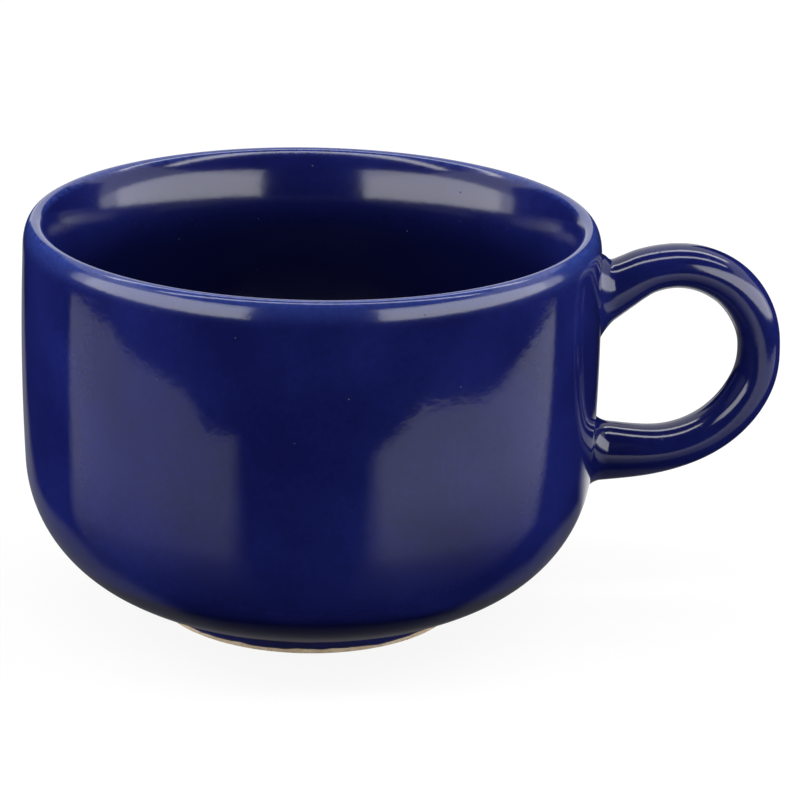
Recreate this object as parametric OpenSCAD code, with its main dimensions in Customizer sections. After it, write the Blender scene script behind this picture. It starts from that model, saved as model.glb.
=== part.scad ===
// Cappuccino cup of glazed stoneware: a turned bowl on a low foot ring, and a ring handle stuck on with slip.
// Millimetres. The origin is on the bowl's axis, in the plane that the cup stands on.
// +Z is up and the handle points along +X. All sizes are of the finished surface, with the glaze on.

/* [Bowl] */
// Outside diameter at the bead of the lip
rim_d = 105.6; // [96:0.1:116]
// Height from the table to the top of the lip
cup_h = 73.8; // [70:0.1:84]
// Distance from the top of the lip down to the widest place of the belly
belly_drop = 25.8; // [21:0.1:30]
// How far the belly stands out past the neck under the lip
belly_swell = 0.4; // [0.3:0.05:1.5]
// Radius of the round corner from the wall into the heel
corner_r = 25.3; // [18:0.1:28]
// Radius of the flatter heel between the round corner and the foot
heel_r = 39; // [30:0.5:60]
// Slope, in degrees from upright, at which the heel takes over from the corner
heel_slope = 57; // [50:1:62]
// Thickness of the wall
wall_t = 7; // [5.5:0.1:8]
// Thickness of the floor
floor_t = 7; // [4.5:0.1:9]
// Radius of the round corner inside, from the wall into the floor
inner_corner_r = 19; // [12:0.5:22]

/* [Lip] */
// Width of the lip's outer half, from its crest out to its bead
lip_out_w = 2.3; // [1.6:0.1:3]
// Height of the lip's outer half, from its bead up to its crest
lip_out_h = 4.9; // [3.5:0.1:6]
// Radius of the inner half of the lip
lip_in_r = 1.6; // [1:0.1:2.2]
// How far the lip's bead stands out past the neck under it
lip_bead = 0.15; // [0.05:0.05:0.4]
// How far the neck lies below the lip's bead
neck_drop = 1.5; // [1.2:0.1:2.5]
// Height of the leaning face inside the lip
lean_h = 13; // [9:0.1:16]

/* [Foot] */
// Outside diameter of the foot ring
foot_d = 58.4; // [50:0.1:64]
// Height of the base above the table
foot_h = 2; // [1.6:0.1:4]
// Width of the foot ring's clay
foot_w = 4.6; // [3:0.1:8]
// Rounding of the foot ring's lower edges
foot_edge_r = 0.7; // [0.3:0.1:1.2]
// Height of the bare clay that the glaze leaves at the foot
bare_h = 0.9; // [0.5:0.1:1.4]

/* [Handle] */
// Thickness of the handle in the plane of its ring
handle_t = 8.2; // [7:0.1:10]
// Width of the handle across its ring
handle_w = 9.4; // [7.5:0.1:12]
// Radius of the ring's centreline
ring_r = 16; // [14.5:0.1:18]
// Height of the ring's centre, as a share of the cup's height
ring_ratio = 0.656; // [0.62:0.002:0.69]
// Distance from the belly out to the ring's centre
ring_out = 14.8; // [13:0.1:17]
// Radius of the wider crown from the ring into the upper arm
crown_r = 21; // [18.5:0.1:23]
// Length of the upper arm between the crown and the belly's radius
upper_arm_l = 4.4; // [3.5:0.1:6]
// Radius of the wider bend from the ring into the lower arm
bend_r = 20; // [18.5:0.1:21.5]
// Thickness of the upper arm where it meets the wall
upper_root_t = 11.8; // [10.5:0.1:13]
// Thickness of the lower arm where it meets the wall
lower_root_t = 12.2; // [10.5:0.1:13]

/* [Joints] */
// Thickness of the slip between the wall and the handle's trimmed ends
slip_t = 0.8; // [0.5:0.1:1.2]
// How far the slip is pressed out round each arm
slip_ledge = 0.8; // [0.5:0.1:1.2]

/* [Glaze] */
// Thickness of the glaze
glaze_t = 0.35; // [0.2:0.05:0.45]

/* [Hidden] */
$fn = 96;
// Steps along each arc of a turned profile
heel_steps = 16;
corner_steps = 18;
wall_steps = 10;
lip_steps = 8;
edge_steps = 5;
// Shortest step that a profile takes after the foot ring's edge
least_step = 0.5;

clay = "#c9b496";
glaze = "#1b2370";

rim_r = rim_d / 2;
crest_r = rim_r - lip_out_w;
lip_z = cup_h - lip_out_h;
neck_r = rim_r - lip_bead;
neck_z = lip_z - neck_drop;
belly_r = neck_r + belly_swell;
belly_z = cup_h - belly_drop;

// The wall is one wide arc, upright at the belly, that ends at the neck
wall_r = (pow(neck_z - belly_z, 2) + pow(belly_swell, 2)) / (2 * belly_swell);
wall_x = belly_r - wall_r;
// Angles where the wall's arc ends at the neck, and where the lip's oval starts
neck_angle = asin((neck_z - belly_z) / wall_r);
bead_angle = -12;

// The heel arc touches the base plane, and the corner arc touches the heel and the inside of the wall arc
heel_z = foot_h + heel_r;
corner_z = heel_z - (heel_r - corner_r) * sin(heel_slope);
corner_x = wall_x + sqrt(pow(wall_r - corner_r, 2) - pow(corner_z - belly_z, 2));
corner_angle = asin((corner_z - belly_z) / (wall_r - corner_r));
heel_x = corner_x - (heel_r - corner_r) * cos(heel_slope);

inner_wall_r = wall_r - wall_t;
inner_floor_z = foot_h + floor_t;
inner_corner_z = inner_floor_z + inner_corner_r;
inner_corner_x = wall_x + sqrt(pow(inner_wall_r - inner_corner_r, 2) - pow(inner_corner_z - belly_z, 2));
inner_corner_angle = asin((inner_corner_z - belly_z) / (inner_wall_r - inner_corner_r));
// The leaning face runs from the inner wall's arc up to the lip's inner arc
lean_angle = asin((cup_h - lean_h - belly_z) / inner_wall_r);
lean_foot_r = wall_x + inner_wall_r * cos(lean_angle);
lip_lean = atan2(crest_r - lip_in_r - lean_foot_r, lean_h - lip_in_r);

foot_r = foot_d / 2;
foot_clay_r = foot_r - glaze_t;
foot_in_r = foot_clay_r - foot_w;

ring_x = belly_r + ring_out;
ring_z = cup_h * ring_ratio;
bend_x = ring_x + ring_r - bend_r;
lower_arm_z = ring_z - bend_r;
crown_z = ring_z + ring_r - crown_r;
// Climb of the upper arm, in degrees from level, at which the crown and the arm together reach the belly
arm_climb = asin(ring_out / norm([crown_r, upper_arm_l])) - atan2(upper_arm_l, crown_r);
arm_start_x = ring_x - crown_r * sin(arm_climb);
arm_start_z = crown_z + crown_r * cos(arm_climb);
lower_arm_l = bend_x - belly_r;
// How far each arm starts back inside the ring and under its surface, and runs on inside the wall
arm_back = 2.5;
arm_sink = 0.35;
arm_on = 8;

// Points along an oval's arc, and along a circle's
function oval_arc(x, z, rx, rz, from, to, steps) =
    [for (i = [0:steps]) let (a = from + (to - from) * i / steps) [x + rx * cos(a), z + rz * sin(a)]];
function arc(x, z, r, from, to, steps) = oval_arc(x, z, r, r, from, to, steps);

function reversed(points) = [for (i = [len(points) - 1:-1:0]) points[i]];

// Height of the heel over the foot ring's edge, on the finished outside shrunk by an inset
function foot_top_z(r, inset) = heel_z - sqrt(pow(heel_r - inset, 2) - pow(r - heel_x, 2));

function beyond(points, r) = [for (p = points) if (p[0] > r) p];
function all_but_last(points) = [for (i = [0:len(points) - 2]) points[i]];

// Finished outside from the foot ring's edge up to the crest of the lip, shrunk by an inset
function skirt_path(r, inset) = concat(
    [[r, foot_top_z(r, inset)]],
    beyond(all_but_last(arc(heel_x, heel_z, heel_r - inset, -90, -heel_slope, heel_steps)), r + least_step),
    all_but_last(arc(corner_x, corner_z, corner_r - inset, -heel_slope, corner_angle, corner_steps)),
    arc(wall_x, belly_z, wall_r - inset, corner_angle, neck_angle, wall_steps),
    oval_arc(crest_r, lip_z, lip_out_w - inset, lip_out_h - inset, bead_angle, 90, lip_steps)
);

// Finished hollow from the middle of the floor up to the crest of the lip, grown by an outset
function hollow_path(outset) = concat(
    [[0, inner_floor_z - outset]],
    all_but_last(arc(inner_corner_x, inner_corner_z, inner_corner_r + outset, -90, inner_corner_angle,
                     corner_steps)),
    arc(wall_x, belly_z, inner_wall_r + outset, inner_corner_angle, lean_angle, wall_steps),
    arc(crest_r, cup_h - lip_in_r, lip_in_r - outset, 180 - lip_lean, 90, lip_steps)
);

// Solid of the outside with no hollow, which the handle and its joints are trimmed to
module outside_solid(inset) {
    rotate_extrude()
        polygon(concat(
            [[0, foot_h + inset], [foot_clay_r, foot_h + inset]],
            skirt_path(foot_clay_r, inset),
            [[0, cup_h - inset]]
        ));
}

// Oval section of the handle, shrunk by an inset
module handle_section(inset) {
    scale([handle_t / 2 - inset, handle_w / 2 - inset])
        circle(r = 1);
}

// Arm that swells from inside the ring to its root at the wall and runs on into it, along +Z
module arm(length, root_t, inset) {
    start_r = handle_t / 2 - arm_sink - inset;
    root_r = root_t / 2 - inset;
    end_z = length + arm_on;
    scale([1, (handle_w / 2 - inset) / (handle_t / 2 - inset), 1])
        rotate_extrude()
            polygon([[0, -arm_back], [start_r, -arm_back], [root_r, length], [root_r, end_z], [0, end_z]]);
}

// Turn of the handle's oval section about a centre, from one angle through another
module handle_turn(x, z, r, start, sweep, inset) {
    translate([x, 0, z])
        rotate([90, -start, 0])
            rotate_extrude(angle = sweep)
                translate([r, 0])
                    handle_section(inset);
}

// The handle's loop with both arms running on into the wall: ring, wider crown and bend, and the two arms
module handle_loop(inset) {
    union() {
        handle_turn(ring_x, ring_z, ring_r, 0, 90, inset);
        handle_turn(ring_x, crown_z, crown_r, 90, arm_climb, inset);
        handle_turn(bend_x, ring_z, bend_r, -90, 90, inset);
        translate([arm_start_x, 0, arm_start_z])
            rotate([0, -90 - arm_climb, 0])
                arm(upper_arm_l, upper_root_t, inset);
        translate([bend_x, 0, lower_arm_z])
            rotate([0, -90, 0])
                arm(lower_arm_l, lower_root_t, inset);
    }
}

// Ledge of slip round both arms, as thick as the slip, still running through the wall
module slip_ledges(inset) {
    intersection() {
        handle_loop(inset - slip_ledge);
        outside_solid(inset - slip_t);
    }
}

// The room above or below the middle of the ring
module upper_room() {
    translate([0, -rim_d, ring_z])
        cube([2 * rim_d, 2 * rim_d, cup_h]);
}

module lower_room() {
    translate([0, -rim_d, ring_z - cup_h])
        cube([2 * rim_d, 2 * rim_d, cup_h]);
}

// Turned clay bowl
module bowl() {
    color(clay)
        rotate_extrude()
            polygon(concat(
                [[0, foot_h + glaze_t], [foot_clay_r, foot_h + glaze_t]],
                skirt_path(foot_clay_r, glaze_t),
                reversed(hollow_path(glaze_t))
            ));
}

// Clay ring under the base, with a flat face to stand on between its rounded lower edges
module foot_ring() {
    color(clay)
        rotate_extrude()
            polygon(concat(
                arc(foot_in_r + foot_edge_r, foot_edge_r, foot_edge_r, 180, 270, edge_steps),
                arc(foot_clay_r - foot_edge_r, foot_edge_r, foot_edge_r, -90, 0, edge_steps),
                [[foot_clay_r, foot_h + glaze_t], [foot_in_r, foot_h + glaze_t]]
            ));
}

// Clay loop of the handle, with its ends trimmed to the wall
module handle() {
    color(clay)
        difference() {
            handle_loop(glaze_t);
            outside_solid(glaze_t - slip_t);
        }
}

// Slip between the wall and the handle's upper end
module upper_slip_joint() {
    color(clay)
        difference() {
            intersection() {
                slip_ledges(glaze_t);
                upper_room();
            }
            outside_solid(glaze_t);
        }
}

// Slip between the wall and the handle's lower end
module lower_slip_joint() {
    color(clay)
        difference() {
            intersection() {
                slip_ledges(glaze_t);
                lower_room();
            }
            outside_solid(glaze_t);
        }
}

// Glaze on the outside, from the crest of the lip down to the bare edge of the foot
module outer_glaze() {
    color(glaze)
        difference() {
            rotate_extrude()
                polygon(concat(
                    [[foot_clay_r, bare_h], [foot_r, bare_h]],
                    skirt_path(foot_r, 0),
                    reversed(skirt_path(foot_clay_r, glaze_t))
                ));
            slip_ledges(glaze_t);
        }
}

// Glaze on the inside, from the crest of the lip down over the floor
module inner_glaze() {
    color(glaze)
        rotate_extrude()
            polygon(concat(hollow_path(glaze_t), reversed(hollow_path(0))));
}

// Glaze in the hollow under the base
module base_glaze() {
    color(glaze)
        translate([0, 0, foot_h])
            cylinder(h = glaze_t, r = foot_in_r);
}

// Glaze round the handle and over both ledges of slip, down to the glaze on the wall
module handle_glaze() {
    color(glaze)
        difference() {
            union() {
                handle_loop(0);
                slip_ledges(0);
            }
            handle_loop(glaze_t);
            slip_ledges(glaze_t);
            outside_solid(0);
        }
}

bowl();
foot_ring();
handle();
upper_slip_joint();
lower_slip_joint();
outer_glaze();
inner_glaze();
base_glaze();
handle_glaze();
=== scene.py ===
"""Cappuccino cup of glazed stoneware on a pale studio floor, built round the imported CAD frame."""

import bpy
import numpy as np
from mathutils import Matrix


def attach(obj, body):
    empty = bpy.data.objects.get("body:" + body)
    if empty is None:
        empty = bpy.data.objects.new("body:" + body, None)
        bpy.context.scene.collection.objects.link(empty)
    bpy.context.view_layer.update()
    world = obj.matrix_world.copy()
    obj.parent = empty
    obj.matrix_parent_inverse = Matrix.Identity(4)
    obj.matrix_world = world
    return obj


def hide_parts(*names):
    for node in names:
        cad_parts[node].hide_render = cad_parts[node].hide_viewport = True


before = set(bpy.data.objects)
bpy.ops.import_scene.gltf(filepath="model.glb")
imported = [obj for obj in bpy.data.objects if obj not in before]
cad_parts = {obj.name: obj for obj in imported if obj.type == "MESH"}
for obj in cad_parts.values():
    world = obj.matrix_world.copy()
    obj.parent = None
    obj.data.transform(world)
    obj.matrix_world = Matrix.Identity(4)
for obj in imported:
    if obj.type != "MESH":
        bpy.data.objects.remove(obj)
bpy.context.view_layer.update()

# Sizes of the finished surface in millimetres, the same as the frame's
MM = 0.001
RIM_R, CUP_H = 52.8, 73.8
LIP_OUT_W, LIP_OUT_H, LIP_IN_R, LIP_BEAD, NECK_DROP = 2.3, 4.9, 1.6, 0.15, 1.5
BELLY_Z, BELLY_SWELL, WALL_T, FLOOR_Z, INNER_CORNER_R = 48.0, 0.4, 7.0, 9.0, 19.0
CORNER_R, HEEL_R, HEEL_SLOPE, BASE_Z = 25.3, 39.0, np.radians(57), 2.0
FOOT_R, BARE_H, GLAZE_T = 29.2, 0.9, 0.35
# The glaze softens the lip, so that the wall runs into it without a hollow. The wall's arc ends below the neck, and
# the lip's oval starts at an angle where both lean in alike
LIP_EASE, LIP_START = 0.2, np.radians(4.7)
BLEND_DROP, BLEND_RUN = 2.9, np.array([-0.14, 4])
# Lean in degrees of the face inside the lip, at depths below the crest
FACE_DEPTH, FACE_TILT = (0.5, 1.6, 3.7, 9.3, 12, 15, 22), (42, 31, 23.5, 12.5, 5, 0, 0)

CREST_R = RIM_R - LIP_OUT_W
LIP_Z = CUP_H - LIP_OUT_H
NECK_Z = LIP_Z - NECK_DROP
BELLY_R = RIM_R - LIP_BEAD + BELLY_SWELL
WALL_R = ((NECK_Z - BELLY_Z) ** 2 + BELLY_SWELL ** 2) / (2 * BELLY_SWELL)
WALL_X = BELLY_R - WALL_R
HEEL_Z = BASE_Z + HEEL_R
CORNER_Z = HEEL_Z - (HEEL_R - CORNER_R) * np.sin(HEEL_SLOPE)
CORNER_X = WALL_X + np.sqrt((WALL_R - CORNER_R) ** 2 - (CORNER_Z - BELLY_Z) ** 2)
CORNER_END = np.arcsin((CORNER_Z - BELLY_Z) / (WALL_R - CORNER_R))
HEEL_X = CORNER_X - (HEEL_R - CORNER_R) * np.cos(HEEL_SLOPE)
INNER_R = WALL_R - WALL_T
INNER_Z = FLOOR_Z + INNER_CORNER_R
INNER_X = WALL_X + np.sqrt((INNER_R - INNER_CORNER_R) ** 2 - (INNER_Z - BELLY_Z) ** 2)
INNER_END = np.arcsin((INNER_Z - BELLY_Z) / (INNER_R - INNER_CORNER_R))


def arc(x, z, rx, rz, start, end, steps):
    """Points of an oval arc: centre plus each half axis times the cosine and sine of the angle."""
    a = np.linspace(start, end, steps)
    return np.stack([x + rx * np.cos(a), z + rz * np.sin(a)], -1)


def ease(p, q, p_dir, q_dir, steps):
    """Points of a cubic that leaves p along p_dir and reaches q along q_dir, both ends left out."""
    t = np.linspace(0, 1, steps + 2)[1:-1, None]
    return ((2 * t ** 3 - 3 * t ** 2 + 1) * p + (t ** 3 - 2 * t ** 2 + t) * p_dir
            + (3 * t ** 2 - 2 * t ** 3) * q + (t ** 3 - t ** 2) * q_dir)


def smooth(x, low, high):
    """Rises from 0 at low to 1 at high as the cubic 3t2 - 2t3."""
    t = np.clip((x - low) / (high - low), 0, 1)
    return t * t * (3 - 2 * t)


def cup_path(inset, fine):
    """Profile from the foot's edge up the outside, over the lip and down to the middle of the floor: arcs for the heel,
    the round corner and the wide wall, a cubic into the oval lip, a leaning face whose slope is summed up from the
    crest downwards, arcs for the inner wall and corner, and the flat floor."""
    foot_r = FOOT_R - inset
    heel_start = -np.arccos((foot_r - HEEL_X) / (HEEL_R - inset))
    neck = np.arcsin((NECK_Z - BLEND_DROP - BELLY_Z) / WALL_R)
    heel = arc(HEEL_X, HEEL_Z, HEEL_R - inset, HEEL_R - inset, heel_start, -HEEL_SLOPE, 14 * fine)
    corner = arc(CORNER_X, CORNER_Z, CORNER_R - inset, CORNER_R - inset, -HEEL_SLOPE, CORNER_END, 20 * fine)
    wall = arc(WALL_X, BELLY_Z, WALL_R - inset, WALL_R - inset, CORNER_END, neck, 12 * fine)
    lip_w = LIP_OUT_W - LIP_EASE - inset
    lip = arc(CREST_R, LIP_Z, lip_w, LIP_OUT_H - inset, LIP_START, np.pi / 2, 14 * fine)
    blend = ease(wall[-1], lip[0], BLEND_RUN, BLEND_RUN, 4 * fine)
    lean = np.arcsin((CUP_H - FACE_DEPTH[-1] - BELLY_Z) / INNER_R)
    inner = arc(WALL_X, BELLY_Z, INNER_R + inset, INNER_R + inset, lean, INNER_END, 10 * fine)
    tilt = np.radians(FACE_TILT[0])
    crest = arc(CREST_R, CUP_H - LIP_IN_R, LIP_IN_R - inset, LIP_IN_R - inset, np.pi / 2, np.pi - tilt, 8 * fine)
    depth = np.linspace(CUP_H - crest[-1, 1], FACE_DEPTH[-1], 20 * fine)
    step = np.tan(np.radians(np.interp(depth, FACE_DEPTH, FACE_TILT)))
    fall = np.concatenate([[0], np.cumsum((step[1:] + step[:-1]) / 2 * np.diff(depth))])
    fall = crest[-1, 0] - fall
    fall = fall + (inner[0, 0] - fall[-1]) * smooth(depth, 1, FACE_DEPTH[-1])
    face = np.stack([fall, CUP_H - depth], -1)[1:-1]
    bowl = arc(INNER_X, INNER_Z, INNER_CORNER_R + inset, INNER_CORNER_R + inset, INNER_END, -np.pi / 2, 18 * fine)
    flat = np.stack([np.linspace(INNER_X, 0, 8), np.full(8, FLOOR_Z - inset)], -1)
    parts = [heel, corner[1:], wall[1:], blend, lip, crest[1:], face, inner, bowl[1:], flat[1:]]
    return np.concatenate(parts)


def mesh_object(name, verts, faces, material, attributes):
    """Makes an object at the origin from points in millimetres, with smooth shading and named values at its points."""
    mesh = bpy.data.meshes.new(name)
    mesh.from_pydata(verts * MM, [], faces)
    mesh.polygons.foreach_set("use_smooth", np.ones(len(mesh.polygons), dtype=bool))
    for key, values in attributes.items():
        mesh.attributes.new(key, "FLOAT", "POINT").data.foreach_set("value", values.astype(np.float32))
    mesh.update()
    mesh.materials.append(material)
    obj = bpy.data.objects.new(name, mesh)
    bpy.context.scene.collection.objects.link(obj)
    return obj


def ring_quads(rows, cols, wrap):
    """Faces of a grid whose columns close on themselves, and whose rows do too if wrap is set."""
    i = np.arange(rows if wrap else rows - 1)[:, None] * cols
    j = np.arange(cols)[None, :]
    k = (j + 1) % cols
    up = (i + cols) % (rows * cols)
    return np.stack([i + j, i + k, up + k, up + j], -1).reshape(-1, 4)


def wave(angle, terms):
    """Sum of cosines, each given as count round the circle, height and phase."""
    return sum(h * np.cos(n * angle + p) for n, h, p in terms)


# Where the wax kept the glaze off the foot, the edge of the glaze wanders by a few tenths of a millimetre
EDGE_LIFT, EDGE_ROUND = 0.2, 0.22
EDGE_WAVES = [(2, 0.10, 0.4), (5, 0.09, 2.1), (9, 0.07, 0.9), (17, 0.06, 4.0), (31, 0.05, 1.7), (53, 0.03, 3.1)]


def bowl_coat(material):
    """Glaze shell of the bowl, turned about Z: radius and height of the profile stay the same at every angle, but the
    skirt at the foot starts at a height that is a sum of cosines of the angle. The clay side is the same profile, set
    in by the glaze's thickness, so the shell is closed."""
    cols = 264
    angle = np.linspace(0, 2 * np.pi, cols, endpoint=False)
    outer, inner = cup_path(0, 2), cup_path(GLAZE_T, 1)[::-1]
    edge = BARE_H + EDGE_LIFT + wave(angle, EDGE_WAVES)
    rise = np.linspace(0, 1, 8)[:-1, None]
    skirt_r = FOOT_R - EDGE_ROUND * (1 - smooth(rise, 0, 0.25)) + 0 * edge
    skirt_z = edge + (outer[0, 1] - edge) * rise
    clay_r = np.full((2, cols), FOOT_R - GLAZE_T)
    clay_z = np.stack([(edge + inner[-1, 1]) / 2, edge + 0.03])
    turn = np.ones(cols)
    outer, inner = outer[:-1], inner[1:]
    r = np.concatenate([skirt_r, outer[:, :1] * turn, inner[:, :1] * turn, clay_r])
    z = np.concatenate([skirt_z, outer[:, 1:] * turn, inner[:, 1:] * turn, clay_z])
    rows, half = len(r), len(skirt_r) + len(outer)
    verts = np.stack([r * np.cos(angle), r * np.sin(angle), z], -1).reshape(-1, 3)
    poles = np.array([[0, 0, FLOOR_Z], [0, 0, FLOOR_Z - GLAZE_T]])
    quads = ring_quads(rows, cols, True)
    quads = np.delete(quads, np.s_[(half - 1) * cols:half * cols], axis=0)
    j = np.arange(cols)
    k = (j + 1) % cols
    first, second = (half - 1) * cols, half * cols
    fans = np.concatenate([np.stack([first + j, first + k, np.full(cols, rows * cols)], -1),
                           np.stack([second + k, second + j, np.full(cols, rows * cols + 1)], -1)])
    verts = np.concatenate([verts, poles])
    height = verts[:, 2]
    far = np.hypot(verts[:, 0], verts[:, 1])
    thin = smooth(height, LIP_Z + 0.4, CUP_H - 0.6) * smooth(far, CREST_R - 1.6, CREST_R - 0.4)
    crest = smooth(height, CUP_H - 1.3, CUP_H)
    # Painted shade: the glaze is coloured darker inside the cup below the lip and on the belly's underside, where less
    # light reaches
    painted_shade = smooth(far, CREST_R - 2, CREST_R - 4) * smooth(height, CUP_H - 4, CUP_H - 18) * (height > FLOOR_Z - 0.1)
    row = np.append(np.repeat(np.arange(rows), cols), [half, half])
    lining = row >= len(skirt_r) + np.argmax(outer[:, 1])
    satin = np.maximum(lining, smooth(height, LIP_Z - 1, LIP_Z + 1.5))
    return mesh_object("bowl_coat", verts, quads.tolist() + fans.tolist(), material,
                       {"thin": thin, "crest": crest, "painted_shade": painted_shade, "satin": satin})


# Handle, measured in its own plane: distance from the axis, height, half thickness
HANDLE = np.array([
    [50.6, 57.15, 6.10], [53.0, 58.55, 5.90], [55.0, 59.72, 5.45], [57.1, 60.95, 4.90], [59.0, 62.05, 4.55],
    [61.0, 63.10, 4.33], [63.2, 63.84, 4.17], [65.4, 64.26, 4.09], [67.7, 64.42, 4.08], [70.4, 64.20, 4.13],
    [73.1, 63.47, 4.17], [75.7, 62.27, 4.22], [78.0, 60.69, 4.22], [79.95, 58.70, 4.21], [81.55, 56.42, 4.17],
    [82.78, 53.89, 4.08], [83.56, 51.19, 3.98], [83.85, 48.40, 3.94], [83.80, 45.50, 4.00], [83.26, 42.66, 4.08],
    [82.18, 39.95, 4.15], [80.70, 37.45, 4.18], [78.88, 35.20, 4.19], [76.78, 33.24, 4.20], [74.44, 31.62, 4.22],
    [71.90, 30.32, 4.27], [69.24, 29.36, 4.37], [66.48, 28.70, 4.56], [63.65, 28.33, 4.84], [61.2, 28.20, 5.10],
    [58.8, 28.18, 5.36], [56.4, 28.22, 5.62], [54.0, 28.26, 5.85], [50.6, 28.30, 6.10]])
HANDLE_HALF_W = 4.7
FLARE_H, FLARE_REACH = 1.6, 3.2
# Between these distances from the axis the ovals lean over until they stand upright
LEAN_START, LEAN_END = 58.5, 53.5
# How much of the loss of gloss on the lip and inside the handle has too
HANDLE_SATIN = 0.5


def spline(points, steps):
    """Smooth curve through points: on each span the cubic through both ends with the slopes of their neighbours,
    then points at even distances along it, closer together at both ends."""
    p = np.concatenate([2 * points[:1] - points[1:2], points, 2 * points[-1:] - points[-2:-1]])
    t = np.linspace(0, 1, 24, endpoint=False)[:, None, None]
    a, b, c, d = p[:-3], p[1:-2], p[2:-1], p[3:]
    q = 0.5 * (2 * b + (c - a) * t + (2 * a - 5 * b + 4 * c - d) * t ** 2 + (3 * b - a - 3 * c + d) * t ** 3)
    q = np.concatenate([q.transpose(1, 0, 2).reshape(-1, points.shape[1]), points[-1:]])
    far = np.concatenate([[0], np.cumsum(np.linalg.norm(np.diff(q[:, :2], axis=0), axis=1))])
    s = np.linspace(0, 1, steps)
    s = s - 0.12 * np.sin(2 * np.pi * s)
    return np.stack([np.interp(s * far[-1], far, q[:, i]) for i in range(q.shape[1])], -1)


def wall_radius(z):
    """Radius of the cup's finished outside at a height between the heel and the neck."""
    wall = WALL_X + np.sqrt(WALL_R ** 2 - (z - BELLY_Z) ** 2)
    corner = CORNER_X + np.sqrt(np.maximum(CORNER_R ** 2 - (z - CORNER_Z) ** 2, 0))
    return np.where(z > CORNER_Z + CORNER_R * np.sin(CORNER_END), wall, corner)


def handle_loop(name, inset, material):
    """Loop of the handle: an oval carried along the curve, even in width, its thickness as measured, both less an
    inset. Each end's ovals lean over until they stand upright inside the wall. Close to the wall, where the slip was
    smoothed into a flare, every point moves out of the oval by H (1 - d / R)2, where d is its distance from the wall.
    """
    rows, cols = 260, 96
    line = spline(HANDLE, rows)
    along = np.gradient(line[:, :2], axis=0)
    along /= np.linalg.norm(along, axis=1)[:, None]
    across = np.stack([-along[:, 1], along[:, 0]], -1)
    upright = np.stack([0 * across[:, 0], np.sign(across[:, 1])], -1) / np.abs(across[:, 1:]).clip(0.5)
    lean = smooth(line[:, :1], LEAN_START, LEAN_END)
    across = across * (1 - lean) + upright * lean
    angle = np.linspace(0, 2 * np.pi, cols, endpoint=False)
    c, s = np.cos(angle), np.sin(angle)

    def place(grow):
        thick, wide = line[:, 2:] - inset + grow, HANDLE_HALF_W - inset + grow
        x = line[:, :1] + across[:, :1] * thick * c
        z = line[:, 1:2] + across[:, 1:] * thick * c
        return x, wide * s, z

    x, y, z = place(0)
    d = np.clip(np.hypot(x, y) - wall_radius(z), -0.5, FLARE_REACH)
    x, y, z = place(FLARE_H * (1 - d / FLARE_REACH) ** 2)
    verts = np.stack([x, y, z], -1).reshape(-1, 3)
    ends = np.stack([[line[0, 0], 0, line[0, 1]], [line[-1, 0], 0, line[-1, 1]]])
    j = np.arange(cols)
    k = (j + 1) % cols
    last = (rows - 1) * cols
    fans = np.concatenate([np.stack([j, k, np.full(cols, rows * cols)], -1),
                           np.stack([last + k, last + j, np.full(cols, rows * cols + 1)], -1)])
    faces = ring_quads(rows, cols, False)[:, ::-1].tolist() + fans.tolist()
    verts = np.concatenate([verts, ends])
    none = np.zeros(len(verts))
    return mesh_object(name, verts, faces, material,
                       {"thin": none, "crest": none, "painted_shade": none, "satin": none + HANDLE_SATIN})


def linear(text):
    """Linear RGBA of an sRGB hex colour."""
    v = np.array([int(text[i:i + 2], 16) for i in (1, 3, 5)]) / 255
    v = np.where(v <= 0.04045, v / 12.92, ((v + 0.055) / 1.055) ** 2.4)
    return (*v.tolist(), 1.0)


def per_mm(size):
    """Texture scale, per metre, of a pattern whose marks are this many millimetres across."""
    return 1 / (size * MM)


def add(tree, kind, inputs, **settings):
    """Adds a node, with its settings and with values or links for its inputs."""
    item = tree.nodes.new(kind)
    for key, value in settings.items():
        setattr(item, key, value)
    for key, value in inputs.items():
        if isinstance(value, bpy.types.NodeSocket):
            tree.links.new(value, item.inputs[key])
        else:
            item.inputs[key].default_value = value
    return item


def new_material(name):
    """Makes an empty material and gives it with its node tree."""
    material = bpy.data.materials.new(name)
    material.use_nodes = True
    material.node_tree.nodes.clear()
    return material, material.node_tree


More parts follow.
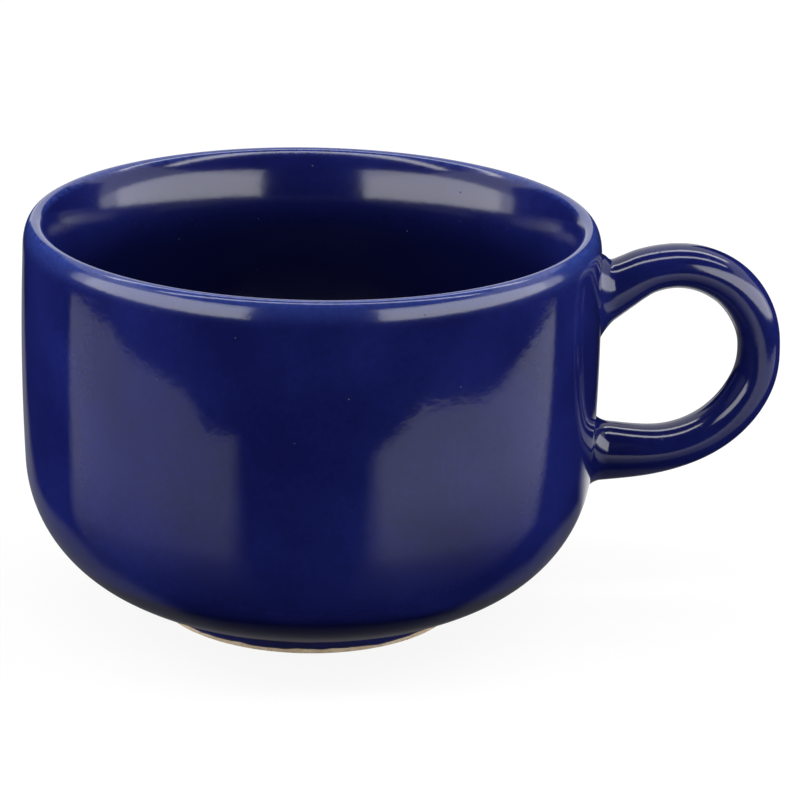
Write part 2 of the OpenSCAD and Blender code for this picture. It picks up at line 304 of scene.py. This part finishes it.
def cobalt_glaze():
    """Glossy cobalt glaze: a glass melted over the clay. It runs thin and pale over the lip, has painted shade inside
    the cup and under the belly, and keeps a faint orange-peel surface with a few pinholes from gas that left the clay."""
    material, tree = new_material("cobalt_glaze")
    spot = add(tree, "ShaderNodeTexCoord", {}).outputs["Object"]
    thin, crest, painted_shade, satin = (add(tree, "ShaderNodeAttribute", {}, attribute_name=key).outputs["Fac"]
                                for key in ("thin", "crest", "painted_shade", "satin"))
    # Slow drift of the colour where the coat is a little thicker or thinner
    drift = add(tree, "ShaderNodeTexNoise", {"Vector": spot, "Scale": per_mm(22), "Detail": 3.0, "Roughness": 0.55})
    # Fine mottle of the cobalt in the melt
    mottle = add(tree, "ShaderNodeTexNoise", {"Vector": spot, "Scale": per_mm(1.1), "Detail": 4.0, "Roughness": 0.6})
    # On the crest the coat breaks in pale patches, about a millimetre across
    patches = add(tree, "ShaderNodeMapRange", {"Value": mottle.outputs["Fac"], "From Min": 0.3, "From Max": 0.7})
    patchy = add(tree, "ShaderNodeMapRange", {"Value": crest, "To Max": patches.outputs["Result"]})
    deep = add(tree, "ShaderNodeValToRGB", {"Fac": drift.outputs["Fac"]})
    deep.color_ramp.elements[0].position = 0.35
    deep.color_ramp.elements[0].color = linear("#0c1040")
    deep.color_ramp.elements[1].position = 0.68
    deep.color_ramp.elements[1].color = linear("#12184f")
    layers = deep.outputs["Color"]
    # Colour layers: thin pale glaze on the lip, painted shade inside the cup and under the belly, pale patches on the
    # crest
    for factor, tone in ((thin, "#1c275f"), (painted_shade, "#070a2e"), (patchy.outputs["Result"], "#263573")):
        layers = add(tree, "ShaderNodeMix", {"Factor": factor, "A": layers, "B": linear(tone)},
                     data_type="RGBA").outputs["Result"]
    tint = add(tree, "ShaderNodeMapRange", {"Value": mottle.outputs["Fac"], "From Min": 0.3, "From Max": 0.7,
                                            "To Min": 0.88, "To Max": 1.12})
    color = add(tree, "ShaderNodeVectorMath", {0: layers, "Scale": tint.outputs["Result"]},
                operation="SCALE")
    # Pinholes, about 0.2 mm across and a few to the square centimetre
    cell = add(tree, "ShaderNodeTexVoronoi", {"Vector": spot, "Scale": per_mm(3.2), "Randomness": 1.0})
    hole = add(tree, "ShaderNodeMapRange", {"Value": cell.outputs["Distance"], "From Min": 0.03, "From Max": 0.055,
                                            "To Min": 1.0, "To Max": 0.0})
    rare = add(tree, "ShaderNodeSeparateColor", {"Color": cell.outputs["Color"]})
    some = add(tree, "ShaderNodeMath", {0: rare.outputs["Red"], 1: 0.6}, operation="GREATER_THAN")
    pits = add(tree, "ShaderNodeMath", {0: hole.outputs["Result"], 1: some.outputs[0]}, operation="MULTIPLY")
    peel = add(tree, "ShaderNodeTexNoise", {"Vector": spot, "Scale": per_mm(1.5), "Detail": 2.0, "Roughness": 0.45})
    swell = add(tree, "ShaderNodeTexNoise", {"Vector": spot, "Scale": per_mm(14), "Detail": 1.0, "Roughness": 0.4})
    bumps = add(tree, "ShaderNodeMath", {0: swell.outputs["Fac"], 1: 4.0, 2: peel.outputs["Fac"]},
                operation="MULTIPLY_ADD")
    relief = add(tree, "ShaderNodeMath", {0: pits.outputs[0], 1: -4.0, 2: bumps.outputs[0]}, operation="MULTIPLY_ADD")
    bump = add(tree, "ShaderNodeBump", {"Height": relief.outputs[0], "Strength": 1.0, "Distance": 0.012 * MM})
    gloss = add(tree, "ShaderNodeMapRange", {"Value": drift.outputs["Fac"], "From Min": 0.3, "From Max": 0.7,
                                             "To Min": 0.06, "To Max": 0.085})
    # The lip, the inside and the handle are a little less glossy than the wall
    rough = add(tree, "ShaderNodeMath", {0: satin, 1: 0.065, 2: gloss.outputs["Result"]}, operation="MULTIPLY_ADD")
    surface = add(tree, "ShaderNodeBsdfPrincipled", {
        "Base Color": color.outputs["Vector"], "Roughness": rough.outputs[0], "IOR": 1.52,
        "Normal": bump.outputs["Normal"]})
    add(tree, "ShaderNodeOutputMaterial", {"Surface": surface.outputs["BSDF"]})
    return material


def bare_stoneware():
    """Bare stoneware: fired clay with grog, wiped with a sponge before firing. Matt and sandy, with dark iron
    specks."""
    material, tree = new_material("bare_stoneware")
    spot = add(tree, "ShaderNodeTexCoord", {}).outputs["Object"]
    cloud = add(tree, "ShaderNodeTexNoise", {"Vector": spot, "Scale": per_mm(4), "Detail": 5.0, "Roughness": 0.65})
    clay = add(tree, "ShaderNodeValToRGB", {"Fac": cloud.outputs["Fac"]})
    clay.color_ramp.elements[0].position = 0.3
    clay.color_ramp.elements[0].color = linear("#b09a7e")
    clay.color_ramp.elements[1].position = 0.7
    clay.color_ramp.elements[1].color = linear("#cdbda4")
    grit = add(tree, "ShaderNodeTexVoronoi", {"Vector": spot, "Scale": per_mm(0.8), "Randomness": 1.0})
    iron = add(tree, "ShaderNodeMapRange", {"Value": grit.outputs["Distance"], "From Min": 0.1, "From Max": 0.25,
                                            "To Min": 0.7, "To Max": 0.0})
    color = add(tree, "ShaderNodeMix", {"Factor": iron.outputs["Result"], "A": clay.outputs["Color"],
                                        "B": linear("#7d6549")}, data_type="RGBA")
    bump = add(tree, "ShaderNodeBump", {"Height": grit.outputs["Distance"], "Strength": 0.6, "Distance": 0.05 * MM})
    surface = add(tree, "ShaderNodeBsdfPrincipled", {
        "Base Color": color.outputs["Result"], "Roughness": 0.85, "Normal": bump.outputs["Normal"]})
    add(tree, "ShaderNodeOutputMaterial", {"Surface": surface.outputs["BSDF"]})
    return material


def pale_floor():
    """Pale matt studio board. Seen by the camera it is lifted to white, and keeps the cup's shadow."""
    material, tree = new_material("pale_floor")
    spot = add(tree, "ShaderNodeTexCoord", {}).outputs["Object"]
    grain = add(tree, "ShaderNodeTexNoise", {"Vector": spot, "Scale": per_mm(30), "Detail": 4.0})
    tone = add(tree, "ShaderNodeValToRGB", {"Fac": grain.outputs["Fac"]})
    tone.color_ramp.elements[0].color = linear("#f0f0ef")
    tone.color_ramp.elements[1].color = linear("#f6f6f5")
    matt = add(tree, "ShaderNodeBsdfDiffuse", {"Color": tone.outputs["Color"]})
    path = add(tree, "ShaderNodeLightPath", {})
    lift = add(tree, "ShaderNodeMath", {0: path.outputs["Is Camera Ray"], 1: 0.88}, operation="MULTIPLY")
    white = add(tree, "ShaderNodeEmission", {"Color": (1, 1, 1, 1), "Strength": 1.0})
    mix = add(tree, "ShaderNodeMixShader", {"Fac": lift.outputs[0], 1: matt.outputs["BSDF"],
                                            2: white.outputs["Emission"]})
    add(tree, "ShaderNodeOutputMaterial", {"Surface": mix.outputs["Shader"]})
    return material


def black_card():
    """Black velvet, which takes the shine out of the parts of the glaze that face it. It thins out where its own
    value called cover falls, as a card with a feathered edge does."""
    material, tree = new_material("black_card")
    spot = add(tree, "ShaderNodeTexCoord", {}).outputs["Object"]
    nap = add(tree, "ShaderNodeTexNoise", {"Vector": spot, "Scale": per_mm(5)})
    tone = add(tree, "ShaderNodeValToRGB", {"Fac": nap.outputs["Fac"]})
    tone.color_ramp.elements[0].color = linear("#050506")
    tone.color_ramp.elements[1].color = linear("#0b0b0d")
    matt = add(tree, "ShaderNodeBsdfDiffuse", {"Color": tone.outputs["Color"]})
    gap = add(tree, "ShaderNodeBsdfTransparent", {})
    cover = add(tree, "ShaderNodeAttribute", {}, attribute_name="cover").outputs["Fac"]
    # The cloth lets a third of the floor's own light through to the cup
    path = add(tree, "ShaderNodeLightPath", {})
    share = add(tree, "ShaderNodeMapRange", {"Value": path.outputs["Is Diffuse Ray"], "To Min": 1.0, "To Max": 0.65})
    hold = add(tree, "ShaderNodeMath", {0: cover, 1: share.outputs["Result"]}, operation="MULTIPLY")
    mix = add(tree, "ShaderNodeMixShader", {"Fac": hold.outputs[0], 1: gap.outputs["BSDF"], 2: matt.outputs["BSDF"]})
    add(tree, "ShaderNodeOutputMaterial", {"Surface": mix.outputs["Shader"]})
    return material


def ring_sheet(name, radii, shift, z, material, cover):
    """Flat ring at a height: each radius taken once round an axis that is shifted along Y, with the cover that a
    function of the place gives."""
    cols = 360
    angle = np.linspace(0, 2 * np.pi, cols, endpoint=False)
    r = radii[:, None]
    x, y = r * np.cos(angle), r * np.sin(angle) + shift
    verts = np.stack([x, y, z + 0 * x], -1).reshape(-1, 3)
    faces = ring_quads(len(radii), cols, False).tolist() + [list(range(cols))[::-1]]
    return mesh_object(name, verts, faces, material, {"cover": cover(x, y).ravel()})


def card(name, start, end, height, material):
    """Upright flat card between two places on the floor."""
    corners = np.array([(*start, 0), (*end, 0), (*end, height), (*start, height)], dtype=float)
    return mesh_object(name, corners, [[0, 1, 2, 3]], material, {"cover": np.ones(4)})


def side(x, y, start, end, soft):
    """1 on the left of the line from start to end, 0 on its right, with a soft step between."""
    run = np.subtract(end, start) / np.hypot(*np.subtract(end, start))
    return smooth(run[0] * (y - start[1]) - run[1] * (x - start[0]), -soft, soft)


# Floor that shows close round the cup: degrees round from the front, and how far out it reaches
CLOSE_TURN = (30, 40, 48, 60, 70, 80, 90, 100, 107, 118, 128, 137, 146, 160, 180)
CLOSE_FAR = (41, 43, 48, 55, 59, 69, 75, 80, 85, 96, 111, 138, 190, 300, 400)
# Far edges of the bare fields: degrees round from the front, and distance from the cup's axis
LEFT_TURN, LEFT_FAR = (29, 39, 48, 61, 73, 81, 110), (192, 195, 229, 246, 258, 278, 290)
RIGHT_TURN, RIGHT_FAR = (15, 22, 35, 57, 66, 80, 91, 110), (175, 189, 220, 213, 221, 252, 275, 295)
# How much of the floor shows in each place
LEFT_SHARE, RIGHT_SHARE, BELLY_SHARE, CLOSE_SHARE, HANDLE_SHARE = 0.42, 0.6, 0.3, 0.15, 0.7


def floor_cover(x, y):
    """Black cloth round the cup. It leaves two pale fields of floor bare, one to the left and one to the right, each
    between two straight edges and out to where its far edge runs, and lets some floor show under the belly, close round
    the cup and behind it, and under the handle."""
    r = np.hypot(x, y)
    turn = np.degrees(np.arctan2(x, -y))
    left = side(x, y, (-91.6, -167), (-27, -65.6), 9) * side(x, y, (-67, -16.5), (-288, 69.7), 5)
    left = left * smooth(r - np.interp(-turn, LEFT_TURN, LEFT_FAR), 5, -5)
    right = side(x, y, (17.7, -76), (62.3, -195.8), 11) * side(x, y, (297, 39.5), (82, -31.6), 5)
    right = right * smooth(r - np.interp(turn, RIGHT_TURN, RIGHT_FAR), 6, -6)
    left = LEFT_SHARE * left * smooth(r, 46, 140)
    right = RIGHT_SHARE * right * smooth(r, 46, 150)
    under_belly = BELLY_SHARE * smooth(r, 41, 34)
    close = CLOSE_SHARE * smooth(r / np.interp(np.abs(turn), CLOSE_TURN, CLOSE_FAR), 1.08, 0.92)
    under_handle = HANDLE_SHARE * smooth(np.hypot(x - 72, y - 60), 42, 18)
    return 1 - np.maximum.reduce([left * (x < 0), right * (x > 0), under_belly, close, under_handle])


def only_mirrored(obj):
    """Leaves a card to be seen in the glaze alone."""
    for ray in ("camera", "diffuse", "transmission", "volume_scatter", "shadow"):
        setattr(obj, "visible_" + ray, False)
    return obj


def lamp(name, start, end, size, facing, radiance):
    """Long soft lamp from one place to another, of a given width across, that shines along facing."""
    start, end, facing = (np.array(v, dtype=float) for v in (start, end, facing))
    long = np.linalg.norm(end - start)
    light = bpy.data.lights.new(name, "AREA")
    light.shape = "RECTANGLE"
    light.size, light.size_y = long * MM, size * MM
    light.energy = radiance * np.pi * long * size * MM * MM
    x_axis = (end - start) / long
    z_axis = -facing + (facing @ x_axis) * x_axis
    z_axis /= np.linalg.norm(z_axis)
    place = np.eye(4)
    place[:3, :3] = np.stack([x_axis, np.cross(z_axis, x_axis), z_axis], -1)
    place[:3, 3] = (start + end) / 2 * MM
    obj = bpy.data.objects.new(name, light)
    obj.matrix_world = Matrix(place.tolist())
    obj.visible_camera = False
    bpy.context.scene.collection.objects.link(obj)
    return obj


glaze = cobalt_glaze()
stoneware = bare_stoneware()

bowl_piece = bowl_coat(glaze)
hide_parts("outer_glaze", "inner_glaze")
handle_piece = handle_loop("handle_coat", 0, glaze)
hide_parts("handle_glaze")
handle_clay = handle_loop("handle_clay", GLAZE_T, stoneware)
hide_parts("handle", "upper_slip_joint", "lower_slip_joint")
for piece, slot in ((bowl_piece, "glaze"), (handle_piece, "glaze"), (handle_clay, "stoneware")):
    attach(piece, "root")

for name, material in (("bowl", stoneware), ("foot_ring", stoneware), ("base_glaze", glaze)):
    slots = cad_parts[name].material_slots
    for index in range(len(slots)):
        slots[index].material = material

# Stage: pale floor, and black cards that only the glaze mirrors
floor = ring_sheet("floor", np.linspace(5, 3600, 12), 0, -0.02, pale_floor(), lambda x, y: 0 * x)
velvet = black_card()
cloth = np.concatenate([np.linspace(30, 350, 90), [500, 1100, 3400]])
cards = [
    ring_sheet("card_above", np.linspace(5, 1040, 12), -700, 800, velvet, lambda x, y: 0 * x + 1),
    ring_sheet("cloth_round", cloth, 0, 1, velvet, floor_cover),
    card("card_front", (-495, -930), (352, -930), 800, velvet),
    card("card_left", (-1850, 600), (-500, 1500), 1000, velvet),
    card("card_right", (2870, 930), (700, 2100), 1400, velvet),
]
[only_mirrored(piece) for piece in cards]
# The cloth also darkens the light that the floor throws up at the cup
cards[1].visible_diffuse = True

# Upright soft boxes on both sides, two tubes overhead, and a soft fill from each side that the glaze doesn't mirror
BOX_LOW, BOX_HIGH, BOX_RADIANCE, BOX_FAR_RADIANCE = 70, 630, 3.6, 1.2
TUBE_HALF_L, TUBE_W, TUBE_Z, TUBE_RADIANCE = 700, 110, 700, 7
FILL_H, FILL_RADIANCE = 800, 5.5
for name, start, end, radiance in (
        ("light_right", (355, -927), (1919, 236), BOX_RADIANCE),
        ("light_right_far", (1919, 236), (2845, 924), BOX_FAR_RADIANCE),
        ("light_left", (-422, -795), (-1495, 264), BOX_RADIANCE),
        ("light_left_far", (-1495, 264), (-1831, 595), BOX_FAR_RADIANCE)):
    middle, z = np.add(start, end) / 2, (BOX_LOW + BOX_HIGH) / 2
    lamp(name, (*start, z), (*end, z), BOX_HIGH - BOX_LOW, (-middle[0], -middle[1], 0), radiance)
for name, y in (("tube_back", 240), ("tube_front", -190)):
    lamp(name, (-TUBE_HALF_L, y, TUBE_Z), (TUBE_HALF_L, y, TUBE_Z), TUBE_W, (0, 0, -1), TUBE_RADIANCE)
for name, x in (("fill_right", 800), ("fill_left", -800)):
    fill = lamp(name, (x, -100, FILL_H / 2), (x, 600, FILL_H / 2), FILL_H, (-x, 0, 0), FILL_RADIANCE)
    fill.visible_glossy = False

# World: white to the camera and in reflections, a plain grey fill for the rest
WORLD_FILL = 0.18
world = bpy.data.worlds.new("studio")
bpy.context.scene.world = world
world.use_nodes = True
world.node_tree.nodes.clear()
path = add(world.node_tree, "ShaderNodeLightPath", {})
seen = add(world.node_tree, "ShaderNodeMath", {0: path.outputs["Is Camera Ray"], 1: path.outputs["Is Glossy Ray"]},
           operation="MAXIMUM")
seen = add(world.node_tree, "ShaderNodeMath", {0: seen.outputs[0], 1: path.outputs["Is Transmission Ray"]},
           operation="MAXIMUM")
level = add(world.node_tree, "ShaderNodeMapRange", {"Value": seen.outputs[0], "To Min": WORLD_FILL, "To Max": 1.0})
sky = add(world.node_tree, "ShaderNodeBackground", {"Color": (1, 1, 1, 1), "Strength": level.outputs["Result"]})
add(world.node_tree, "ShaderNodeOutputWorld", {"Surface": sky.outputs["Background"]})

# Camera at the photo's angle: a long lens half a metre off, looking down about nineteen degrees
camera = bpy.data.cameras.new("camera")
camera.sensor_width = 36
camera.lens = 138.55
camera.clip_start = 0.01
view = bpy.data.objects.new("camera", camera)
VIEW = np.array([
    [0.99501517, 0.00833468, -0.09937473, -0.04025758],
    [-0.09655814, 0.32960227, -0.93916924, -0.53792068],
    [0.02492646, 0.94408309, 0.32876405, 0.22683400],
    [0, 0, 0, 1]])
view.matrix_world = Matrix(VIEW.tolist())
bpy.context.scene.collection.objects.link(view)
bpy.context.scene.camera = view
bpy.context.scene.view_settings.view_transform = "Standard"
